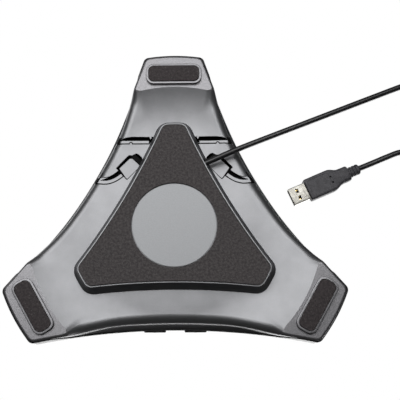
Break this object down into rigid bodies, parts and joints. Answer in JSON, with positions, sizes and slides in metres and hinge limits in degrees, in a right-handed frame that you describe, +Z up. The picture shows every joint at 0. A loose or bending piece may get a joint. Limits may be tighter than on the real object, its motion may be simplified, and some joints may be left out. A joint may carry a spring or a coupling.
{
  "type": "conference speakerphone",
  "caption": "Three-armed tabletop conference speakerphone on a base pad and foot bars, with domed top, round speaker grille, keys, and a plugged cord.",
  "frame": {"origin": "middle of the device's bounding box in plan, at the table the base pad and foot bars stand on", "axes": "+Z up, +Y towards the back arm, +X to the right of a user who sits at the front"},
  "size_m": [0.3522, 0.2046, 0.051],
  "materials": {
    "casing_grey": "satin metallic grey paint on plastic",
    "top_black": "matte black plastic",
    "pad_brown": "speckled non-slip sheet",
    "rubber": "matte rubber",
    "label": "satin grey label",
    "steel": "plated steel",
    "cord_black": "smooth black cord jacket",
    "board_green": "green circuit board",
    "clear": "translucent light guide",
    "paper": "dark moulded plastic and paper"
  },
  "bodies": {
    "device": {"bottom_casing": "casing_grey", "top_casing": "top_black", "base_cover": "casing_grey", "base_pad": "pad_brown", "label_plate": "label", "foot_pad_back": "rubber", "foot_pad_left": "rubber", "foot_pad_right": "rubber", "speaker_grille": "steel", "grille_ring": "steel", "speaker_frame": "paper", "speaker_magnet": "steel", "speaker_gasket": "rubber", "mic_mesh_back": "steel", "mic_mesh_left": "steel", "mic_mesh_right": "steel", "mic_boot_back": "rubber", "mic_boot_left": "rubber", "mic_boot_right": "rubber", "mic_capsule_back": "steel", "mic_capsule_left": "steel", "mic_capsule_right": "steel", "status_light_back": "clear", "status_light_left": "clear", "status_light_right": "clear", "main_board": "board_green", "main_shield": "steel", "key_board": "board_green", "socket_left": "rubber", "socket_right": "rubber", "casing_screw_back": "steel", "casing_screw_left": "steel", "casing_screw_right": "steel", "cover_screw_back": "steel", "cover_screw_left": "steel", "cover_screw_right": "steel", "cord_out": "cord_black", "cord_back": "cord_black", "cord_coil": "cord_black", "cord_tie": "rubber", "cord_gland": "rubber", "plug_body": "cord_black", "plug_shell": "steel", "plug_insert": "paper"},
    "cone": {"speaker_cone": "paper"},
    "call": {"call_key": "rubber"},
    "mute": {"mute_key": "rubber"},
    "end": {"end_key": "rubber"},
    "volume_down": {"volume_down_key": "rubber"},
    "volume_up": {"volume_up_key": "rubber"}
  },
  "joints": [
    {"name": "cone_travel", "type": "slide", "parent": "device", "child": "cone", "axis": [0, 0, 1], "range_m": [-0.0008, 0.0008], "stiffness_N_per_m": 1500},
    {"name": "call_key_press", "type": "slide", "parent": "device", "child": "call", "axis": [0, 0, -1], "range_m": [0, 0.0009], "stiffness_N_per_m": 1200},
    {"name": "mute_key_press", "type": "slide", "parent": "device", "child": "mute", "axis": [0, 0, -1], "range_m": [0, 0.0009], "stiffness_N_per_m": 1200},
    {"name": "end_key_press", "type": "slide", "parent": "device", "child": "end", "axis": [0, 0, -1], "range_m": [0, 0.0009], "stiffness_N_per_m": 1200},
    {"name": "volume_down_press", "type": "slide", "parent": "device", "child": "volume_down", "axis": [0, 1, 0], "range_m": [0, 0.0008], "stiffness_N_per_m": 1200},
    {"name": "volume_up_press", "type": "slide", "parent": "device", "child": "volume_up", "axis": [0, 1, 0], "range_m": [0, 0.0008], "stiffness_N_per_m": 1200}
  ]
}
